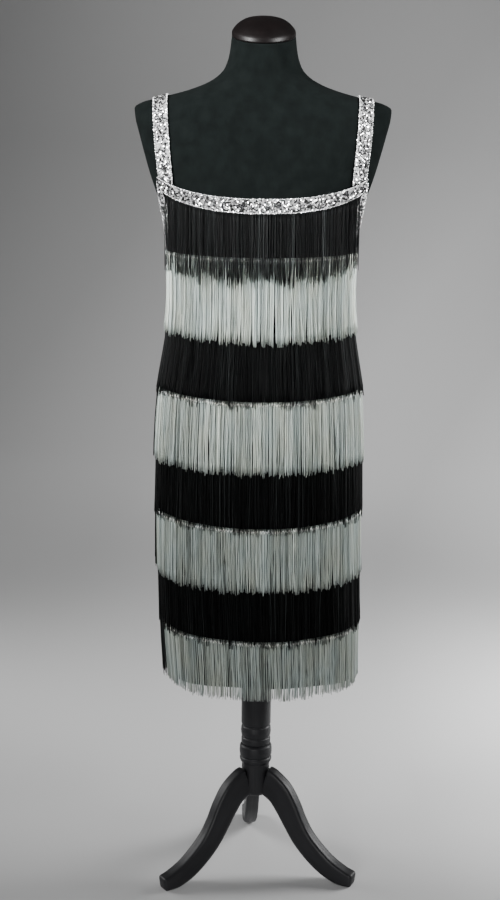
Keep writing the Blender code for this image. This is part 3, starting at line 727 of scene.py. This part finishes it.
def cloth():
    """The whole tube of cloth: a front and a back panel sewn at both sides, with a turned-up hem."""
    turns = list(np.arange(-180, 180, 2.0)) + [s * CORNER_TURN for s in (-1, 1)]
    turns += [s * (180 - CORNER_TURN) for s in (-1, 1)]
    turns += [s * (90 + d) for s in (-1, 1) for d in (-1.0, -0.5, -0.25, 0.25, 0.5, 1.0)]
    turns = np.array(sorted(turns))
    shares = np.unique(np.concatenate([np.linspace(0, 1, 130), [0.0015, 0.003, 0.0145, 0.016, 0.9985]]))
    turn, share = np.meshgrid(turns, shares)
    z = HEM_Z + (top_edge(turn) - HEM_Z) * share
    hem = HEM_THICKER / (1 + np.exp(np.minimum((z - HEM_Z - HEM_TURN_UP) / HEM_EASES_OVER, 50)))
    moved = crease_depth(turn, z)
    inner = wall(turn, z, 0.00015 + moved - hem)
    outer = wall(turn, z, 0.00125 + moved + hem)
    pile = Pile()
    add_shell(pile, inner, outer, 0, True)
    return pile.piece("dress_cloth", [FABRIC], ["front_panel", "back_panel"])


# The fringe.

STRAND_RADII = {"black": 0.00056, "silver": 0.00064}
STRAND_SHARES = np.array([0, 0.10, 0.28, 0.50, 0.72, 0.89, 1.0])
STRAND_WIDTHS = np.array([0.9, 1, 1, 1, 1, 1, 0.75])
LAYERS = (CLOTH + STRIP_GAP + 0.0007, CLOTH + STRIP_GAP + 0.0016)
SPREAD_AT_NEXT = 0.0024
STITCH_DOWN, STITCH_REACH = 0.0042, 0.0030
STITCH_RADIUS = 0.00078
FIRST_ROW_TURN = CORNER_TURN - 1.5
CLUMP_WIDTHS = (0.0022, 0.0085)


def heading_at(tier, turn):
    """The height of the top of a row's heading."""
    if tier.heading is None:
        return top_edge(turn) - TRIM_WIDTH - SEAM_GAP
    return tier.heading + tier.rise * np.sin(np.radians(turn)) ** 2


def length_at(number, turn):
    """How far a row's tips hang below the top of its heading. They rise as the next row's heading does,
    and the first row's rise less than its neckline.
    """
    tier = TIERS[number]
    if tier.heading is None:
        centre = heading_at(tier, np.zeros(1))
        return centre - tier.tip + FIRST_ROW_EVENED * (heading_at(tier, turn) - centre)
    lower = TIERS[min(number + 1, len(TIERS) - 1)]
    return heading_at(tier, turn) - tier.tip - lower.rise * np.sin(np.radians(turn)) ** 2


def row_reach(number, middle):
    """The turns at which a row starts and ends."""
    if number == 0:
        return middle - FIRST_ROW_TURN, middle + FIRST_ROW_TURN
    first = TIERS[number].first if middle == 0 else 0
    return middle - 89.8 + first * LOCK_PITCH, middle + 89.8


def spaced_turns(tier, start, end, pitch):
    """Turns that lie evenly along a row's heading, and the degrees in a metre of arc there."""
    fine = np.linspace(start, end, 600)
    length = cumulated(wall(fine, heading_at(tier, fine), CLOTH))
    count = int(length[-1] / pitch)
    return np.interp((np.arange(count) + 0.5) * length[-1] / count, length, fine), (end - start) / length[-1]


def clumps(chance, positions):
    """Groups neighbouring strands: each one's clump, that clump's middle, and how many clumps there are."""
    edges = [positions[0] - 0.001]
    while edges[-1] < positions[-1]:
        edges.append(edges[-1] + chance.uniform(*CLUMP_WIDTHS))
    own = np.clip(np.searchsorted(edges, positions) - 1, 0, len(edges) - 2)
    edges = np.array(edges)
    return own, ((edges[:-1] + edges[1:]) / 2)[own], len(edges) - 1


def plumb(turns, z, lift, aside):
    """Strands that hang straight down from the neckline, pushed out where the wall is in their way."""
    start = wall(turns, z[:, 0], lift[:, 0]) - np.array([0, AXIS_Y, 0])
    angle = np.arctan2(start[:, 0], -start[:, 1])[:, None]
    half_width, front, back, power = [np.interp(z, GRID, column) for column in WALL_RINGS]
    depth = np.where(np.cos(angle) > 0, front, back)
    across, ahead = np.sin(angle) / half_width, np.cos(angle) / depth
    reach = (np.abs(across) ** power + np.abs(ahead) ** power) ** (-1 / power)
    own = np.hypot(start[:, 0], start[:, 1])[:, None]
    radius = np.maximum.accumulate(np.maximum(reach + lift, own), axis=1)
    angle = angle + aside / radius
    sideways = np.stack([np.cos(angle), np.sin(angle), np.zeros(z.shape)], -1)
    return np.stack([radius * np.sin(angle), -radius * np.cos(angle) + AXIS_Y, z], -1), sideways


def add_strands(pile, number, turns, degrees, out, chance, drop=0.0):
    """One layer of a row's strands, which gather in clumps towards their uneven ends."""
    tier = TIERS[number]
    count = len(turns)
    arcs = turns / degrees
    own, middle, groups = clumps(chance, arcs)
    gather = chance.uniform(0.0, 0.20 if number == 0 else 0.40, groups)[own]
    swing = chance.normal(0, 0.0008, groups)[own] + chance.normal(0, 0.0005, count)
    stray = np.where(chance.random(count) < 0.05, chance.normal(0, 0.0040, count), 0)
    clump_uneven = 0.70 if tier.shade == "black" else 0.55
    uneven = chance.normal(0, clump_uneven, groups)[own] + chance.normal(0, 0.50, count)
    top = heading_at(tier, turns)
    root = top - 0.0006
    tip = top - length_at(number, turns) - drop + tier.ragged * np.clip(uneven, -1.6, 1.4)
    tip = np.maximum(tip, TIERS[-1].tip - 0.002)
    share = STRAND_SHARES[None, :]
    z = root[:, None] + (tip - root)[:, None] * share
    aside = ((middle - arcs) * gather)[:, None] * share**1.6 + (swing + stray)[:, None] * share**2
    wave, phase = chance.uniform(1.5, 3.5, count), chance.uniform(0, 6.28, count)
    aside += 0.00035 * np.sin(share * wave[:, None] * 3 + phase[:, None]) * np.minimum(share * 4, 1)
    spread = LOWEST_SPREAD * share
    if number + 1 < len(TIERS):
        lower = heading_at(TIERS[number + 1], turns)
        spread = SPREAD_AT_NEXT * (root[:, None] - z) / (root - lower)[:, None]
    flick = np.abs(chance.normal(0, 0.0005, count))[:, None] * share**4
    lift = out + chance.uniform(-0.0002, 0.0002, count)[:, None] + spread + flick
    if number == 0:
        centre, sideways = plumb(turns, z, lift, aside)
    else:
        turn = turns[:, None] + aside * degrees
        centre = wall(turn, z, lift)
        sideways = unit(wall(turn + 0.3, z, lift) - wall(turn - 0.3, z, lift))
    away = np.stack([sideways[..., 1], -sideways[..., 0], np.zeros(z.shape)], -1)
    radius = STRAND_RADII[tier.shade] * chance.uniform(0.85, 1.15, count)[:, None] * STRAND_WIDTHS
    angles = chance.uniform(0, 2 * np.pi, count)[:, None] + np.array([0, 2.0944, 4.1888])
    cos, sin = (f(angles)[:, None, :, None] for f in (np.cos, np.sin))
    around = cos * away[:, :, None] + sin * sideways[:, :, None]
    rings = centre[:, :, None] + radius[:, :, None, None] * around
    steps = len(STRAND_SHARES)
    starts = (np.arange(count) * steps * 3)[:, None, None]
    quads = (grid_faces(steps, 3, 0, True)[None] + starts).reshape(-1, 4)
    caps = np.array([[2, 1, 0], [steps * 3 - 3, steps * 3 - 2, steps * 3 - 1]])[None]
    numbers = np.clip(0.15 * chance.random(groups)[own] + 0.85 * chance.random(count), 0.01, 0.99)
    down = (root[:, None] - z)[:, :, None]
    maps = np.stack(np.broadcast_arrays(numbers[:, None, None], down, np.zeros((1, 1, 3)))[:2], -1)
    pile.add(rings, [quads[:, ::-1], (caps[:, :, ::-1] + starts).reshape(-1, 3)], 0, True, maps)


def add_heading(pile, tier, start, end, chance):
    """The strip that the strands are sewn to, and the zigzag stitches that hold their tops."""
    turns, _ = spaced_turns(tier, start, end, 0.0040)
    top = heading_at(tier, turns)[None, :]
    z = top - STRIP_HEIGHT * np.linspace(0, 1, 4)[:, None]
    outer = wall(turns[None, :], z, CLOTH + 0.0009)
    inner = wall(turns[None, :], z, CLOTH + 0.0003)
    add_shell(pile, inner[::-1], outer[::-1], 0, False, np.full((*z.shape, 2), 0.5))
    if tier.heading is None:
        return
    turns, _ = spaced_turns(tier, start, end, 0.0011)
    beat = np.cumsum(chance.uniform(0.9, 2.3, len(turns)))
    swing = STITCH_REACH * np.sin(beat) * chance.uniform(0.5, 1.1, len(turns))
    z = heading_at(tier, turns) - STITCH_DOWN + swing
    centre = wall(turns, z, LAYERS[1] + 0.0007 + 0.0003 * np.cos(beat))
    sideways = unit(np.gradient(centre, axis=0))
    away = unit(np.cross(sideways, np.array([0, 0, 1.0])))
    up = np.cross(away, sideways)
    angles = np.arange(4) * np.pi / 2
    around = np.cos(angles)[:, None] * away[:, None] + np.sin(angles)[:, None] * up[:, None]
    rings = centre[:, None] + STITCH_RADIUS * around
    # The stitches take the yarn ramp's last stop, its brightest: a painted highlight on their loops.
    maps = np.full((*rings.shape[:2], 2), 1.0)
    maps[..., 1] = cumulated(centre)[:, None]
    add_rings(pile, rings, 0, maps)


def fringe_row(number, word, middle):
    tier = TIERS[number]
    chance = np.random.default_rng(500 + 20 * number + middle)
    start, end = row_reach(number, middle)
    pile = Pile()
    add_heading(pile, tier, start, end, chance)
    for out in LAYERS:
        turns, degrees = spaced_turns(tier, start, end, tier.pitch)
        turns = turns + chance.uniform(-0.35, 0.35, len(turns)) * tier.pitch * degrees
        add_strands(pile, number, np.sort(np.clip(turns, start, end)), degrees, out, chance)
    if middle == 0 and number in (2, 4, 6):
        bare = TIERS[number + 1].first * LOCK_PITCH - 0.5
        side, degrees = spaced_turns(tier, start, start + bare, tier.pitch * 0.7)
        add_strands(pile, number, side, degrees, LAYERS[0], chance, tier.tip - TIERS[number + 1].tip - 0.006)
    row = f"{word}_{number + 1}"
    return pile.piece(f"strands_{row}", [YARNS[tier.shade]], [f"fringe_{row}"])


# The sequin trim. A band is a grid of points on its underside, from edge to edge and end to end.

BAND_STEPS, BAND_LANES = 240, 11
RIBBON_THICK = 0.0005
SEQUIN_STEP = 0.0026
SEQUIN_RADIUS = 0.0017
BEAD_RADIUS = 0.00105
BEAD_STEP = 0.0027
DARK_RADIUS = 0.0012
SCROLL_STEP = 0.0016
SCROLL_SWAY = 0.0016
SCROLL_LENGTH = 0.0155
SCROLL_KEPT = 0.85
Band = namedtuple("Band", "points normals")


def band_of(points, towards):
    """A band with its normals, which point the same way as the given direction at its middle."""
    along = np.gradient(points, axis=0)
    across = np.gradient(points, axis=1)
    normals = unit(np.cross(along, across))
    middle = points.shape[0] // 2, points.shape[1] // 2
    return Band(points, normals if normals[middle] @ towards > 0 else -normals)


def band_shares():
    """How far along and how far across a band each of its points lies."""
    return np.meshgrid(np.linspace(0, 1, BAND_STEPS), np.linspace(0, 1, BAND_LANES), indexing="ij")


def neckline_band(middle):
    share, lane = band_shares()
    turn = middle + CORNER_TURN * (2 * share - 1)
    points = wall(turn, top_edge(turn) - TRIM_WIDTH * lane, CLOTH + 0.0003)
    return band_of(points, np.array([0, -math.cos(math.radians(middle)), 0]))


def armhole_band(side):
    """The band round an armhole. Its inner edge stops short of the neckline's band."""
    share, lane = band_shares()
    start = CORNER_TURN + ARMHOLE_START
    innermost = CORNER_TURN + LOCK_GAP / 4
    turn = start + (180 - 2 * start) * share
    z = top_edge(turn)
    arc = np.linalg.norm(wall(turn + 0.5, z, CLOTH) - wall(turn - 0.5, z, CLOTH), axis=-1)
    rise = top_edge(turn + 1) - top_edge(turn - 1)
    slope = np.hypot(2 * arc, rise)
    inner = np.clip(turn + rise / slope * TRIM_WIDTH / arc, innermost, 180 - innermost)
    low = z - 2 * arc / slope * TRIM_WIDTH
    points = wall(side * (turn + (inner - turn) * lane), z + (low - z) * lane, CLOTH + 0.0003)
    return band_of(points, np.array([side, 0, 0]))


def strap_angles(low_x, middle):
    """The angle, seen from the strap's hub, of the cloth's edge below each of the strap's lanes."""
    turns = middle + np.linspace(0, CORNER_TURN + 2, 500) * (1 if middle == 0 else -1)
    edge = wall(turns, top_edge(turns) - 0.0040, 0)
    y, z = np.interp(low_x, edge[:, 0], edge[:, 1]), np.interp(low_x, edge[:, 0], edge[:, 2])
    angle = np.arctan2(z - STRAP_HUB_Z, y - AXIS_Y - STRAP_HUB_Y)
    return np.where(angle > -np.pi / 2, angle, angle + 2 * np.pi)


def strap_band(side, shoulder):
    """The band over a shoulder, laid on the form's own surface."""
    lanes = np.linspace(-0.5, 0.5, BAND_LANES) * TRIM_WIDTH
    front, back = strap_angles(STRAP_LOW_X + lanes, 0), strap_angles(STRAP_LOW_X + lanes, 180)
    points = np.empty((BAND_STEPS, BAND_LANES, 3))
    for k, share in enumerate(np.linspace(0, 1, BAND_STEPS)):
        lift = 0.0016 + 0.0024 * abs(2 * share - 1) ** 6
        for c, lane in enumerate(lanes):
            angle = front[c] + (back[c] - front[c]) * share
            x = STRAP_LOW_X + lane + (STRAP_HIGH_X - STRAP_LOW_X) * math.sin(math.pi * share)
            hub = Vector((x, AXIS_Y + STRAP_HUB_Y, STRAP_HUB_Z))
            direction = Vector((0, math.cos(angle), math.sin(angle)))
            touched = shoulder.ray_cast(hub, direction)[0]
            points[k, c] = touched + direction * lift
    points[..., 0] *= side
    return band_of(points, np.array([0, 0, 1.0]))


def on_band(band, step, lane, out):
    """Points and frames on a band: its direction, the way across it and its normal."""
    step = np.clip(step, 0, BAND_STEPS - 1.001)
    lane = np.clip(lane, 0, BAND_LANES - 1.001)
    r, c = step.astype(int), lane.astype(int)
    s, t = (step - r)[..., None], (lane - c)[..., None]

    def between(grid):
        low = grid[r, c] * (1 - t) + grid[r, c + 1] * t
        high = grid[r + 1, c] * (1 - t) + grid[r + 1, c + 1] * t
        return low * (1 - s) + high * s

    normal = unit(between(band.normals))
    along = unit(band.points[r + 1, c] - band.points[r, c])
    across = unit(np.cross(normal, along))
    points = between(band.points) + normal * np.asarray(out)[..., None]
    return points, np.cross(across, normal), across, normal


def add_copies(pile, points, faces, centres, frames, finish, smooth, chance):
    """Copies of a small shape. frames holds three directions for each copy."""
    count, size = len(centres), len(points)
    moved = centres[:, None] + np.einsum("pk,nkd->npd", points, frames)
    indices = (faces[None] + (np.arange(count) * size)[:, None, None]).reshape(-1, faces.shape[1])
    numbers = np.repeat(chance.random(count), size)
    pile.add(moved, [indices], finish, smooth, np.stack([numbers, np.zeros(count * size)], -1))


def lens_shape(radius, depth):
    """A cupped six-sided sequin, closed on both sides."""
    angles = np.arange(6) * np.pi / 3
    rim = np.stack([radius * np.cos(angles), radius * np.sin(angles), np.zeros(6)], -1)
    points = np.vstack([rim, [[0, 0, -depth], [0, 0, -depth - 0.00012]]])
    faces = [[k, (k + 1) % 6, 6] for k in range(6)] + [[(k + 1) % 6, k, 7] for k in range(6)]
    return points, np.array(faces)


def bead_shape(radius):
    """A small round bead of twenty faces."""
    g = (1 + 5**0.5) / 2
    points = np.array([(-1, g, 0), (1, g, 0), (-1, -g, 0), (1, -g, 0), (0, -1, g), (0, 1, g),
                       (0, -1, -g), (0, 1, -g), (g, 0, -1), (g, 0, 1), (-g, 0, -1), (-g, 0, 1)], float)
    faces = [(0, 11, 5), (0, 5, 1), (0, 1, 7), (0, 7, 10), (0, 10, 11), (1, 5, 9), (5, 11, 4),
             (11, 10, 2), (10, 7, 6), (7, 1, 8), (3, 9, 4), (3, 4, 2), (3, 2, 6), (3, 6, 8),
             (3, 8, 9), (4, 9, 5), (2, 4, 11), (6, 2, 10), (8, 6, 7), (9, 8, 1)]
    return unit(points) * radius, np.array(faces)


def tilted(along, across, normal, chance, tilt):
    """Frames turned about their normal at random and tipped a little."""
    spin = chance.uniform(0, 2 * np.pi, len(along))[:, None]
    tip = chance.normal(0, tilt, (len(along), 2))
    up = unit(normal + along * tip[:, :1] + across * tip[:, 1:])
    first = unit(np.cross(across, up))
    second = np.cross(up, first)
    cos, sin = np.cos(spin), np.sin(spin)
    return np.stack([first * cos + second * sin, second * cos - first * sin, up], 1)


def trim(name, band, replaced, seed):
    """A ribbon with overlapping sequins, dark scrolls along its middle and beads along both edges."""
    chance = np.random.default_rng(seed)
    pile = Pile()

    def sew(shape, step, lane, out, tilt, finish, smooth=True):
        """Copies of a shape on the band, this far out of its underside and tipped at random."""
        centres, *lines = on_band(band, step, lane, out)
        add_copies(pile, *shape, centres, tilted(*lines, chance, tilt), finish, smooth, chance)

    outer = band.points + band.normals * RIBBON_THICK
    grids = [band.points[::3], outer[::3]]
    spot = BAND_STEPS // 2, BAND_LANES // 2
    along, across = (np.gradient(outer, axis=k)[spot] for k in (0, 1))
    if np.cross(along, across) @ band.normals[spot] >= 0:
        grids = [grid[:, ::-1] for grid in grids]
    add_shell(pile, *grids)
    every = np.arange(BAND_STEPS)
    middle = cumulated(band.points[:, BAND_LANES // 2])
    length = middle[-1]
    widths = np.linalg.norm(band.points[:, -1] - band.points[:, 0], axis=1)
    steps, lanes = [], []
    columns = int(length / SEQUIN_STEP)
    for k in range(columns):
        step = np.interp((k + 0.5) * length / columns, middle, every)
        rows = max(int(np.interp(step, every, widths) / SEQUIN_STEP), 1)
        lanes += list((np.arange(rows) + 0.5 + 0.25 * (-1) ** k) / rows * (BAND_LANES - 1))
        steps += [step] * rows
    jitter = chance.normal(0, 0.12, (2, len(steps)))
    out = RIBBON_THICK + 0.0005 + chance.uniform(-0.00015, 0.00015, len(steps))
    sequin = lens_shape(SEQUIN_RADIUS, 0.0003)
    sew(sequin, np.array(steps) + jitter[0], np.array(lanes) + jitter[1], out, 0.38, SEQUINS, False)
    beads = int(length / BEAD_STEP)
    step = np.interp((np.arange(beads) + 0.5) * length / beads, middle, every)
    for edge, inward in ((0, 1), (BAND_LANES - 1, -1)):
        lane = edge + inward * (0.15 + 0.12 * np.sin(np.arange(beads) * 2.1))
        sew(bead_shape(BEAD_RADIUS), step, lane, RIBBON_THICK + 0.0006, 0.1, PALE_BEADS)
    count = int(length / SCROLL_STEP)
    place = (np.arange(count) + 0.5) / count
    swirl = place * length / SCROLL_LENGTH * 2 * np.pi
    step = np.interp(place * length + SCROLL_SWAY * np.sin(2 * swirl), middle, every)
    lane = (BAND_LANES - 1) * (0.5 + 0.24 * np.sin(swirl) + 0.07 * np.sin(3 * swirl))
    wide = np.interp(step, every, widths) > 0.6 * TRIM_WIDTH
    kept = wide & (chance.random(count) < SCROLL_KEPT)
    sew(bead_shape(DARK_RADIUS), step[kept], lane[kept], RIBBON_THICK + 0.0010, 0.1, DARK_BEADS)
    return pile.piece(name, TRIM_FINISHES, [replaced])


# The camera, the lights and the stage.


EYE = np.array([-0.0153, AXIS_Y - 2.3, 1.19])
CAMERA_DOWN = 11
CAMERA_ROLL = 0.0103
WORLD_COLOUR = (0.80, 0.82, 0.84, 1)
WORLD_STRENGTH = 0.09

# Where the floor starts to curve, the curve's radius, and the wall's top. The painted shades, darker upwards
# and towards -X in place of light falling off across the backdrop, are laid out on the near sweep, over a
# height that starts below the floor.
STAGE_START, STAGE_RADIUS, STAGE_TOP = 3.8, 1.4, 7.0
STAGE_HALF_WIDTH = 9.0
NEAR_START, NEAR_TOP = 1.2, 5.0
SHADES_BELOW, SHADES_HEIGHT = 1.5, 5.5
STAGE_SLANT = -1.23
STAGE_PAINTED_SHADES = [
    (0.10, 0.96), (0.20, 0.69), (0.29, 0.66), (0.40, 0.49), (0.55, 0.375), (0.76, 0.345), (0.94, 0.32),
]


def camera():
    data = bpy.data.cameras.new("camera")
    data.lens = 56.0
    data.sensor_width = 36.0
    made = placed("camera", data)
    level = Matrix.Translation(EYE) @ Matrix.Rotation(math.radians(90 - CAMERA_DOWN), 4, "X")
    made.matrix_world = level @ Matrix.Rotation(math.atan(CAMERA_ROLL), 4, "Z")
    bpy.context.scene.camera = made


def softbox(name, place, target, size, power, spread):
    data = bpy.data.lights.new(name, "AREA")
    data.shape = "SQUARE"
    data.size = size
    data.energy = power
    data.spread = math.radians(spread)
    made = placed(name, data)
    made.location = place
    made.rotation_euler = (Vector(target) - Vector(place)).to_track_quat("-Z", "Y").to_euler()


def lights():
    softbox("softbox_right", (-1.75, -1.15, 1.95), (0, 0, 1.50), 0.8, 25.6, 47)
    softbox("softbox_left", (1.75, -1.20, 1.90), (0, 0, 1.47), 0.8, 18.2, 47)
    softbox("backdrop_light", (0.3, 2.8, 3.6), (0.3, 4.0, 0.4), 2.4, 54, 120)
    softbox("floor_light_left", (1.5, 0.6, 0.8), (0, 0.4, -0.3), 0.8, 12.0, 100)
    softbox("floor_light_right", (-1.5, 0.6, 0.8), (0, 0.4, -0.3), 0.8, 6.4, 100)
    softbox("floor_fill", (-0.5, -2.4, 0.55), (0, 0, -0.1), 0.7, 1.8, 45)
    world = bpy.data.worlds.new("studio")
    world.use_nodes = True
    sockets = world.node_tree.nodes["Background"].inputs
    sockets["Color"].default_value = WORLD_COLOUR
    sockets["Strength"].default_value = WORLD_STRENGTH
    bpy.context.scene.world = world


def swept(start, radius, top):
    """The side view of a floor that runs up into a wall: the distance back and the height of its points."""
    angles = np.radians(np.arange(3, 91, 3))
    line = [(y, 0.0) for y in np.arange(-5.0, start + 0.01, 0.2)]
    line += [(start + radius * math.sin(a), radius - radius * math.cos(a)) for a in angles]
    return np.array(line + [(start + radius, z) for z in np.arange(radius + 0.2, top, 0.2)])


def painted(line):
    """How high up the backdrop's painted shade each point of the side view counts, and how that shade
    spreads there.

    The shade is laid out on a nearer, smaller sweep, and carried out from there along sight lines.
    """
    near = swept(NEAR_START, STAGE_RADIUS, NEAR_TOP)
    near = near[near[:, 0] > NEAR_START - 0.1] - EYE[1:]
    slopes = near[:, 1] / near[:, 0]
    far = line - EYE[1:]
    slope = far[:, 1] / np.maximum(far[:, 0], 0.1)
    height = np.interp(slope, slopes, near[:, 1] + EYE[2])
    spread = np.interp(slope, slopes, near[:, 0]) / np.maximum(far[:, 0], 0.1)
    beyond = line[:, 0] > NEAR_START
    return np.where(beyond, height, 0.0), np.where(beyond, spread, 1.0)


def stage():
    """A floor that runs up into a backdrop in one smooth curve, with room to go round the object."""
    line = swept(STAGE_START, STAGE_RADIUS, STAGE_TOP)
    height, spread = painted(line)
    x = np.linspace(-STAGE_HALF_WIDTH, STAGE_HALF_WIDTH, 37)
    points = np.stack(np.broadcast_arrays(x, line[:, :1], line[:, 1:]), -1)
    # Painted shade: the share grows upwards and towards -X, and the paint darkens with it.
    share = (height[:, None] + STAGE_SLANT * spread[:, None] * x + SHADES_BELOW) / SHADES_HEIGHT
    pile = Pile()
    pile.add(points, [grid_faces(len(line), len(x))], maps=np.stack([share, np.zeros(share.shape)], -1))
    pile.laid("studio_floor", [painted_shade_material("studio_painted_shade", STAGE_PAINTED_SHADES)])


def main():
    camera()
    lights()
    stage()
    body = torso()
    neck_cap()
    turned("pole", POLE_PROFILE, "stand_pole")
    turned("hub", HUB_PROFILE, "stand_hub")
    for word, turn in LEG_TURNS.items():
        leg(word, turn)
    dress = cloth()
    for number in range(len(TIERS)):
        for word, middle in (("front", 0), ("back", 180)):
            fringe_row(number, word, middle)
    mesh = body.data
    shoulder = BVHTree.FromPolygons([v.co for v in mesh.vertices], [p.vertices for p in mesh.polygons])
    for word, middle, seed in (("front", 0, 11), ("back", 180, 12)):
        trim(f"neckline_{word}", neckline_band(middle), f"neckline_trim_{word}", seed)
    for word, side in (("left", 1), ("right", -1)):
        trim(f"armhole_{word}", armhole_band(side), f"armhole_trim_{word}", 13 + side)
        trim(f"shoulder_strap_{word}", strap_band(side, shoulder), f"strap_{word}", 17 + side)


main()
